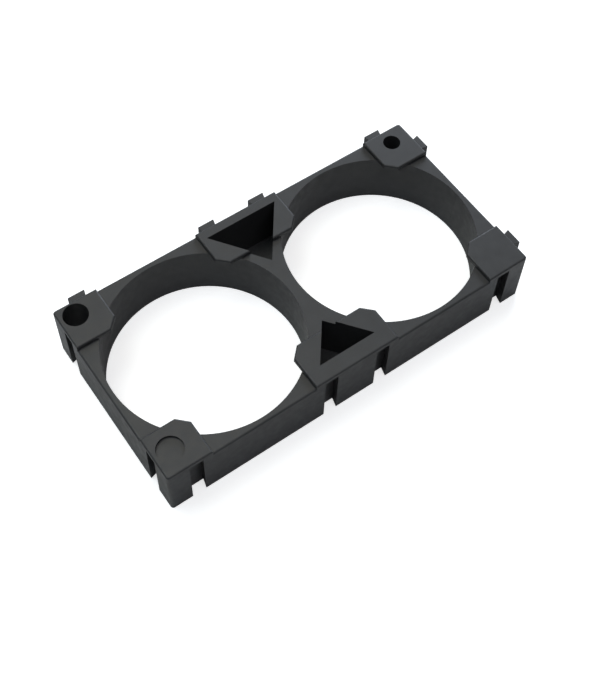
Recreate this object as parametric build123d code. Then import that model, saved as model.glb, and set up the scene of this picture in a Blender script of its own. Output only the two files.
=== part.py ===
from build123d import *
import math
import os

# Battery cell holder bracket: one moulded frame that carries the ends of two
# 32650 cells side by side. X runs along the row of cells, Y across it and Z up.
# The origin is the middle of the flat base. All sizes are in millimetres.

# The cells, and the wall between two bores where they come closest
cell_diameter = 32.2
cell_clearance = 0.4
wall_between_bores = 1.9
cell_count = 2

# The frame around the cells
body_height = 10.0
corner_radius = 0.5
top_edge_radius = 0.35

# The lips on top, which stop the cell ends
lip_thickness = 0.8
lip_reach = 7.9
lip_nose_chamfer = 1.8
lip_edge_radius = 0.3

# The dovetails that join one bracket to the next
tab_from_corner = 4.95
tab_tip_width = 3.0
tab_neck_width = 2.2
tab_projection = 1.45
tab_fit_clearance = 0.1

# The blind triangular pockets between the cells, one from each long side:
# the walls left to the side and to the bores, and how near each comes to the middle
pocket_floor = 1.2
back_pocket_outer_wall = 1.75
back_pocket_bore_wall = 1.35
back_pocket_apex_y = 6.3
front_pocket_outer_wall = 2.85
front_pocket_bore_wall = 2.0
front_pocket_apex_y = 7.6

# The holes through the back corners, and the shallow one in the front left corner
pin_hole_diameter = 4.2
pin_hole_from_left = 2.85
pin_hole_from_back = 2.5
screw_hole_diameter = 3.0
screw_hole_from_right = 3.7
screw_hole_from_back = 2.75
recess_diameter = 4.4
recess_depth = 0.5
recess_from_left = 2.9
recess_from_front = 3.95

# Worked out from the sizes above
bore_radius = (cell_diameter + cell_clearance) / 2
cell_pitch = 2 * bore_radius + wall_between_bores
body_length = cell_count * cell_pitch
body_width = cell_pitch
total_height = body_height + lip_thickness
left, right = -body_length / 2, body_length / 2
front, back = -body_width / 2, body_width / 2
cell_centres = [left + (index + 0.5) * cell_pitch for index in range(cell_count)]
post_centres = [left + index * cell_pitch for index in range(cell_count + 1)]
tab_offset = cell_pitch / 2 - tab_from_corner
slot_depth = tab_projection + tab_fit_clearance


def make_frame():
    """The block with its rounded corners and the round cell bores."""
    outline = RectangleRounded(body_length, body_width, corner_radius)
    for centre in cell_centres:
        outline -= Pos(centre, 0) * Circle(bore_radius)
    return extrude(outline, body_height)


def make_lips():
    """Flat lips over every corner and over the middle of both long sides."""
    outline = RectangleRounded(body_length, body_width, corner_radius)
    lips = []
    for centre in post_centres:
        for side in (front + lip_reach / 2, back - lip_reach / 2):
            plate = Pos(centre, side) * Rectangle(2 * lip_reach, lip_reach)
            noses = plate.vertices().sort_by(lambda corner: abs(corner.Y))[:2]
            plate = chamfer(noses, lip_nose_chamfer) & outline
            lip = Pos(0, 0, body_height) * extrude(plate, lip_thickness)
            lips.append(fillet(lip.edges().group_by(Axis.Z)[-1], lip_edge_radius))
    return lips


def dovetail(neck_width, tip_width, depth, height):
    """A dovetail prism on the base plane that widens from the origin towards +Y."""
    outline = Polyline(
        (-neck_width / 2, 0),
        (neck_width / 2, 0),
        (tip_width / 2, depth),
        (-tip_width / 2, depth),
        close=True,
    )
    return extrude(make_face(outline), height)


def tab_positions():
    """Where the dovetails stand: the same offset on both sides of each cell."""
    along_x = [centre + side * tab_offset for centre in cell_centres for side in (-1, 1)]
    along_y = [side * tab_offset for side in (-1, 1)]
    return along_x, along_y


def make_tabs():
    """The male dovetails on the back and right sides, just short of the lips."""
    height = body_height - tab_fit_clearance
    tab = dovetail(tab_neck_width, tab_tip_width, tab_projection, height)
    along_x, along_y = tab_positions()
    tabs = [Pos(x, back) * tab for x in along_x]
    tabs += [Pos(right, y) * Rot(0, 0, -90) * tab for y in along_y]
    return tabs


def make_slots():
    """The female dovetails in the front and left sides, open below and shut by the lips."""
    spread = 2 * tab_fit_clearance
    slot = dovetail(tab_neck_width + spread, tab_tip_width + spread, slot_depth, body_height)
    along_x, along_y = tab_positions()
    slots = [Pos(x, front) * slot for x in along_x]
    slots += [Pos(left, y) * Rot(0, 0, -90) * slot for y in along_y]
    return slots


def pocket(outer_wall, bore_wall, apex_y):
    """A blind triangular pocket near the back, whose sides keep their wall to the bores."""
    apex_to_cell = math.hypot(cell_pitch / 2, apex_y)
    cell_bearing = math.atan2(cell_pitch / 2, -apex_y)
    side_bearing = cell_bearing - math.asin((bore_radius + bore_wall) / apex_to_cell)
    base_y = back - outer_wall
    half_width = (base_y - apex_y) * math.tan(side_bearing)
    outline = Polyline((-half_width, base_y), (half_width, base_y), (0, apex_y), close=True)
    return Pos(0, 0, pocket_floor) * extrude(make_face(outline), total_height - pocket_floor)


def make_pockets():
    """The pockets between each pair of neighbouring cells."""
    back_pocket = pocket(back_pocket_outer_wall, back_pocket_bore_wall, back_pocket_apex_y)
    front_pocket = pocket(front_pocket_outer_wall, front_pocket_bore_wall, front_pocket_apex_y)
    pockets = []
    for x in post_centres[1:-1]:
        pockets.append(Pos(x, 0) * back_pocket)
        pockets.append(Pos(x, 0) * Rot(0, 0, 180) * front_pocket)
    return pockets


def make_corner_holes():
    """The pin hole and the screw hole, right through, and the shallow recess."""
    pin_hole = extrude(Circle(pin_hole_diameter / 2), total_height)
    screw_hole = extrude(Circle(screw_hole_diameter / 2), total_height)
    recess = extrude(Circle(recess_diameter / 2), recess_depth)
    return [
        Pos(left + pin_hole_from_left, back - pin_hole_from_back) * pin_hole,
        Pos(right - screw_hole_from_right, back - screw_hole_from_back) * screw_hole,
        Pos(left + recess_from_left, front + recess_from_front, total_height - recess_depth) * recess,
    ]


def on_outer_wall(edge):
    """True for an edge that runs along the outside of the frame."""
    middle = edge @ 0.5
    return abs(middle.X) > right - corner_radius or abs(middle.Y) > back - corner_radius


bracket = make_frame()
for lip in make_lips():
    bracket += lip
top_edges = bracket.edges().filter_by_position(Axis.Z, body_height, body_height)
bracket = fillet(top_edges.filter_by(on_outer_wall), top_edge_radius)
for tab in make_tabs():
    bracket += tab
for cut in make_slots() + make_pockets() + make_corner_holes():
    bracket -= cut

os.makedirs("parts", exist_ok=True)
export_step(bracket, "parts/cell_holder_bracket.step")
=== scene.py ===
"""Dresses the battery cell holder bracket: moulded black plastic, a pale floor, soft light and a camera."""

import math

import bpy
from bpy.props import FloatProperty, FloatVectorProperty, PointerProperty
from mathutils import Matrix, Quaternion, Vector

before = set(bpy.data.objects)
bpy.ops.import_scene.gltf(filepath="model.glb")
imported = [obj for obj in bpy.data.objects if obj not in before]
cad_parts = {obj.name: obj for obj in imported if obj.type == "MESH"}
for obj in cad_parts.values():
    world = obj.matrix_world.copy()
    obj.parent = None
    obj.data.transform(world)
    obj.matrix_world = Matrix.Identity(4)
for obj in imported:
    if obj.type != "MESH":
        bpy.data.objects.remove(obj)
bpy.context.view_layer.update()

bl_info = {
    "name": "Battery cell holder bracket",
    "version": (1, 0, 0),
    "blender": (4, 5, 0),
    "location": "3D View > Sidebar > Cell holder",
    "description": "Finishes the moulded cell holder bracket and sets it on a lit floor",
    "category": "Object",
}

BRACKET = "cell_holder_bracket"
MM = 0.001
WHITE = (1.0, 1.0, 1.0)

# The plastic: its refraction, how strongly the grain shows, how much finer the patches of sheen are than
# those of colour, and between which values of the noise a patch fades in
PLASTIC_IOR = 1.5
GRAIN_STRENGTH = 0.5
SHEEN_TO_COLOUR = 0.5
FADE_START, FADE_END = 0.35, 0.65

# The octaves of noise in the patches of colour, in the patches of sheen and in the grain
COLOUR_DETAIL, SHEEN_DETAIL, GRAIN_DETAIL = 3.0, 4.0, 2.0

# The sockets of a Mix node that hold colours share their names with others, so they go by number
MIX_FIRST_COLOUR, MIX_SECOND_COLOUR, MIX_COLOUR_RESULT = 6, 7, 2

# The floor: how far it stays under the base face, the sides of its circle and its roughness
FLOOR_GAP = 0.02 * MM
FLOOR_SIDES = 96
FLOOR_ROUGHNESS = 0.9

# The room: the colour of its light, and the brightness of the wall that the camera sees past the floor
ROOM_COLOUR = (0.9, 1.0, 1.1)
WALL_BRIGHTNESS = 1.0

# The softboxes, all at the same distance in metres: name, setting that holds the power, degrees round the
# bracket (0 in front, 90 on the right), degrees above the floor, width in metres and colour
SOFTBOX_DISTANCE = 1.2
SOFTBOXES = (
    ("back_light", "back_power", 135, 18, 0.6, (0.9, 0.98, 1.12)),
    ("top_light", "top_power", 180, 68, 0.7, (1.17, 1.04, 0.79)),
    ("left_light", "left_power", 225, 68, 0.7, (0.87, 1.02, 1.11)),
    ("front_light", "front_power", 0, 68, 0.7, (1.0, 0.98, 1.02)),
)

# The camera: its sensor in millimetres, and the nearest and farthest that it sees in metres
SENSOR_WIDTH = 36.0
NEAREST, FARTHEST = 0.01, 100.0


# What a user would change

class PlasticSettings(bpy.types.PropertyGroup):
    """The moulded black plastic"""
    colour: FloatVectorProperty(
        name="Colour", description="Body colour of the plastic",
        default=(0.0265, 0.027, 0.028), size=3, min=0.0, max=1.0, subtype="COLOR",
    )
    pale_colour: FloatVectorProperty(
        name="Pale colour", description="Colour of the paler patches that the mould leaves",
        default=(0.0315, 0.032, 0.033), size=3, min=0.0, max=1.0, subtype="COLOR",
    )
    patch_size: FloatProperty(
        name="Patch size", description="Width of the paler patches",
        default=2.6 * MM, min=0.1 * MM, unit="LENGTH",
    )
    grain_size: FloatProperty(
        name="Grain size", description="Width of the spark-eroded mould grain",
        default=0.16 * MM, min=0.01 * MM, unit="LENGTH",
    )
    grain_depth: FloatProperty(
        name="Grain depth", description="Depth of the mould grain",
        default=0.006 * MM, min=0.0, unit="LENGTH", precision=6,
    )
    gloss_roughness: FloatProperty(
        name="Roughness, shiny", description="Roughness of the shiniest patches",
        default=0.45, min=0.0, max=1.0, subtype="FACTOR",
    )
    dull_roughness: FloatProperty(
        name="Roughness, dull", description="Roughness of the dullest patches",
        default=0.54, min=0.0, max=1.0, subtype="FACTOR",
    )


class StageSettings(bpy.types.PropertyGroup):
    """The floor and the lights"""
    floor_size: FloatProperty(
        name="Floor size", description="Width of the round floor",
        default=12.0, min=0.5, unit="LENGTH",
    )
    floor_colour: FloatVectorProperty(
        name="Floor colour", description="Colour of the floor",
        default=(0.82, 0.82, 0.82), size=3, min=0.0, max=1.0, subtype="COLOR",
    )
    floor_lift: FloatProperty(
        name="Floor lift", description="Glow that keeps the floor pale in the shadows",
        default=0.66, min=0.0, max=4.0,
    )
    sky: FloatProperty(
        name="Room light", description="Light that comes evenly from the whole room",
        default=0.1, min=0.0, max=5.0,
    )
    back_power: FloatProperty(
        name="Back light", description="Power of the cool softbox low behind and to the right",
        default=9.2, min=0.0, unit="POWER",
    )
    top_power: FloatProperty(
        name="Top light", description="Power of the warm softbox high behind",
        default=2.45, min=0.0, unit="POWER",
    )
    left_power: FloatProperty(
        name="Left light", description="Power of the cool softbox high behind and to the left",
        default=3.8, min=0.0, unit="POWER",
    )
    front_power: FloatProperty(
        name="Front light", description="Power of the softbox high in front",
        default=2.7, min=0.0, unit="POWER",
    )


class CameraSettings(bpy.types.PropertyGroup):
    """Where the camera stands"""
    target: FloatVectorProperty(
        name="Target", description="Point that the camera looks at",
        default=(4.608 * MM, 4.806 * MM, 5.0 * MM), size=3, subtype="TRANSLATION", unit="LENGTH",
    )
    distance: FloatProperty(
        name="Distance", description="From the camera to the target",
        default=202.49 * MM, min=1.0 * MM, unit="LENGTH",
    )
    azimuth: FloatProperty(
        name="Azimuth", description="Turn round the bracket from straight in front",
        default=math.radians(-36.801), subtype="ANGLE",
    )
    elevation: FloatProperty(
        name="Elevation", description="Angle above the floor",
        default=math.radians(56.58), subtype="ANGLE",
    )
    roll: FloatProperty(
        name="Roll", description="Tilt of the camera about its own line of sight",
        default=math.radians(2.045), subtype="ANGLE",
    )
    lens: FloatProperty(
        name="Lens", description="Focal length in millimetres",
        default=62.198, min=1.0, subtype="DISTANCE_CAMERA",
    )
    rise: FloatProperty(
        name="Rise", description="Vertical shift of the lens",
        default=-0.1143,
    )


# Helpers

def add_node(tree, kind, place, **values):
    """Adds a shader node and sets its own properties, then its sockets, whose names here start with in_."""
    node = tree.nodes.new(kind)
    node.location = place
    for name, value in values.items():
        if not name.startswith("in_"):
            setattr(node, name, value)
    for name, value in values.items():
        if name.startswith("in_"):
            socket = name.removeprefix("in_").replace("_", " ")
            node.inputs[socket].default_value = value
    return node


def new_material(name):
    """An empty material with its output and a Principled shader joined to it."""
    material = bpy.data.materials.new(name)
    material.use_nodes = True
    tree = material.node_tree
    tree.nodes.clear()
    output = add_node(tree, "ShaderNodeOutputMaterial", (600, 0))
    shader = add_node(tree, "ShaderNodeBsdfPrincipled", (300, 0))
    tree.links.new(shader.outputs["BSDF"], output.inputs["Surface"])
    return material, tree, shader, output


def rgba(colour):
    """The colour with full opacity."""
    return (*colour, 1.0)


def direction(azimuth, elevation):
    """From the bracket towards a place round it. Azimuth 0 is straight in front."""
    flat = math.cos(elevation)
    return Vector((math.sin(azimuth) * flat, -math.cos(azimuth) * flat, math.sin(elevation)))


def look_at(thing, place, target, roll=0.0):
    """Puts a light or a camera at a place and points it at a target."""
    thing.location = place
    thing.rotation_mode = "QUATERNION"
    level = (target - place).to_track_quat("-Z", "Y")
    thing.rotation_quaternion = level @ Quaternion((0, 0, 1), roll)


# The operators

class BRACKET_OT_finish(bpy.types.Operator):
    """Gives the bracket its moulded black plastic"""
    bl_idname = "bracket.finish"
    bl_label = "Finish the bracket"

    def execute(self, context):
        settings = context.scene.bracket_plastic
        material, tree, shader, output = new_material("moulded_black_plastic")
        link = tree.links.new
        place = add_node(tree, "ShaderNodeTexCoord", (-1500, 0))

        def noise(size, spot, detail):
            """Noise whose cells are about the given width."""
            texture = add_node(tree, "ShaderNodeTexNoise", (-1080, spot), in_Scale=1 / size, in_Detail=detail)
            link(place.outputs["Object"], texture.inputs["Vector"])
            return texture.outputs["Fac"]

        def between(mask, low, high, spot):
            """Turns a mask into values from low to high."""
            ramp = add_node(
                tree, "ShaderNodeMapRange", (-780, spot), clamp=True,
                in_From_Min=FADE_START, in_From_Max=FADE_END, in_To_Min=low, in_To_Max=high,
            )
            link(mask, ramp.inputs["Value"])
            return ramp.outputs["Result"]

        patches = noise(settings.patch_size, 300, COLOUR_DETAIL)
        mix = add_node(tree, "ShaderNodeMix", (-300, 300), data_type="RGBA")
        link(between(patches, 0.0, 1.0, 300), mix.inputs["Factor"])
        mix.inputs[MIX_FIRST_COLOUR].default_value = rgba(settings.colour)
        mix.inputs[MIX_SECOND_COLOUR].default_value = rgba(settings.pale_colour)
        link(mix.outputs[MIX_COLOUR_RESULT], shader.inputs["Base Color"])

        sheen = noise(settings.patch_size * SHEEN_TO_COLOUR, 0, SHEEN_DETAIL)
        roughness = between(sheen, settings.gloss_roughness, settings.dull_roughness, 0)
        link(roughness, shader.inputs["Roughness"])

        grain = noise(settings.grain_size, -300, GRAIN_DETAIL)
        bump = add_node(
            tree, "ShaderNodeBump", (0, -300), in_Strength=GRAIN_STRENGTH, in_Distance=settings.grain_depth,
        )
        link(grain, bump.inputs["Height"])
        link(bump.outputs["Normal"], shader.inputs["Normal"])

        shader.inputs["IOR"].default_value = PLASTIC_IOR
        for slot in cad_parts[BRACKET].material_slots:
            slot.material = material
        return {"FINISHED"}


class BRACKET_OT_stage(bpy.types.Operator):
    """Adds the pale floor, the room light and the softboxes"""
    bl_idname = "bracket.stage"
    bl_label = "Add the floor and the lights"

    def execute(self, context):
        settings = context.scene.bracket_stage
        self.lay_floor(settings)
        self.light_room(context.scene, settings)
        for name, power, azimuth, elevation, width, colour in SOFTBOXES:
            way = direction(math.radians(azimuth), math.radians(elevation))
            self.add_softbox(name, getattr(settings, power), way * SOFTBOX_DISTANCE, width, colour)
        return {"FINISHED"}

    def lay_floor(self, settings):
        """A round floor, just clear of the base face, which only shows from above."""
        bpy.ops.mesh.primitive_circle_add(
            vertices=FLOOR_SIDES, radius=settings.floor_size / 2, fill_type="NGON",
            location=(0, 0, -FLOOR_GAP),
        )
        floor = bpy.context.object
        floor.name = "floor"
        material, tree, shader, output = new_material("floor")
        shader.inputs["Base Color"].default_value = rgba(settings.floor_colour)
        shader.inputs["Roughness"].default_value = FLOOR_ROUGHNESS
        shader.inputs["Specular IOR Level"].default_value = 0.0
        path = add_node(tree, "ShaderNodeLightPath", (-300, -300))
        lift = add_node(tree, "ShaderNodeMath", (0, -300), operation="MULTIPLY")
        lift.inputs[1].default_value = settings.floor_lift
        glow = add_node(tree, "ShaderNodeEmission", (300, -300))
        above = add_node(tree, "ShaderNodeAddShader", (500, -150))
        below = add_node(tree, "ShaderNodeBsdfTransparent", (500, -300))
        side = add_node(tree, "ShaderNodeNewGeometry", (500, 150))
        choose = add_node(tree, "ShaderNodeMixShader", (700, 0))
        output.location = (900, 0)
        link = tree.links.new
        link(path.outputs["Is Camera Ray"], lift.inputs[0])
        link(lift.outputs[0], glow.inputs["Strength"])
        link(shader.outputs["BSDF"], above.inputs[0])
        link(glow.outputs["Emission"], above.inputs[1])
        link(side.outputs["Backfacing"], choose.inputs["Fac"])
        link(above.outputs["Shader"], choose.inputs[1])
        link(below.outputs["BSDF"], choose.inputs[2])
        link(choose.outputs["Shader"], output.inputs["Surface"])
        floor.data.materials.append(material)

    def light_room(self, scene, settings):
        """An even, dim room, whose wall looks white behind the floor."""
        world = bpy.data.worlds.new("room")
        world.use_nodes = True
        tree = world.node_tree
        tree.nodes.clear()
        output = add_node(tree, "ShaderNodeOutputWorld", (400, 0))
        room = add_node(
            tree, "ShaderNodeBackground", (0, 100), in_Strength=settings.sky, in_Color=rgba(ROOM_COLOUR),
        )
        wall = add_node(
            tree, "ShaderNodeBackground", (0, -100), in_Strength=WALL_BRIGHTNESS, in_Color=rgba(WHITE),
        )
        path = add_node(tree, "ShaderNodeLightPath", (-200, 300))
        choose = add_node(tree, "ShaderNodeMixShader", (200, 0))
        tree.links.new(path.outputs["Is Camera Ray"], choose.inputs["Fac"])
        tree.links.new(room.outputs["Background"], choose.inputs[1])
        tree.links.new(wall.outputs["Background"], choose.inputs[2])
        tree.links.new(choose.outputs["Shader"], output.inputs["Surface"])
        scene.world = world
        scene.view_settings.view_transform = "Standard"

    def add_softbox(self, name, power, place, width, colour):
        """A square softbox that points at the bracket."""
        data = bpy.data.lights.new(name, "AREA")
        data.shape = "SQUARE"
        data.size = width
        data.energy = power
        data.color = colour
        light = bpy.data.objects.new(name, data)
        bpy.context.collection.objects.link(light)
        look_at(light, place, Vector((0, 0, 0)))


class BRACKET_OT_camera(bpy.types.Operator):
    """Sets the camera"""
    bl_idname = "bracket.camera"
    bl_label = "Set the camera"

    def execute(self, context):
        settings = context.scene.bracket_camera
        data = bpy.data.cameras.new("camera")
        data.sensor_width = SENSOR_WIDTH
        data.lens = settings.lens
        data.shift_y = settings.rise
        data.clip_start = NEAREST
        data.clip_end = FARTHEST
        camera = bpy.data.objects.new("camera", data)
        context.collection.objects.link(camera)
        target = Vector(settings.target)
        way = direction(settings.azimuth, settings.elevation)
        look_at(camera, target + way * settings.distance, target, settings.roll)
        context.scene.camera = camera
        return {"FINISHED"}


class BRACKET_PT_panel(bpy.types.Panel):
    """Lists the steps and their settings"""
    bl_idname = "BRACKET_PT_panel"
    bl_label = "Cell holder bracket"
    bl_space_type = "VIEW_3D"
    bl_region_type = "UI"
    bl_category = "Cell holder"

    def draw(self, context):
        for step, group in STEPS:
            box = self.layout.box()
            box.operator(step.bl_idname)
            settings = getattr(context.scene, group)
            for name in settings.__annotations__:
                box.prop(settings, name)


STEPS = (
    (BRACKET_OT_finish, "bracket_plastic"),
    (BRACKET_OT_stage, "bracket_stage"),
    (BRACKET_OT_camera, "bracket_camera"),
)
GROUPS = {
    "bracket_plastic": PlasticSettings,
    "bracket_stage": StageSettings,
    "bracket_camera": CameraSettings,
}
CLASSES = (*GROUPS.values(), *(step for step, group in STEPS), BRACKET_PT_panel)


def register():
    """Adds the settings, the operators and the panel."""
    for part in CLASSES:
        bpy.utils.register_class(part)
    for name, group in GROUPS.items():
        setattr(bpy.types.Scene, name, PointerProperty(type=group))


def unregister():
    """Takes them away again."""
    for name in GROUPS:
        delattr(bpy.types.Scene, name)
    for part in reversed(CLASSES):
        bpy.utils.unregister_class(part)


def main():
    """Dresses the bracket step by step."""
    register()
    bpy.ops.bracket.finish()
    bpy.ops.bracket.stage()
    bpy.ops.bracket.camera()


if __name__ == "__main__":
    main()
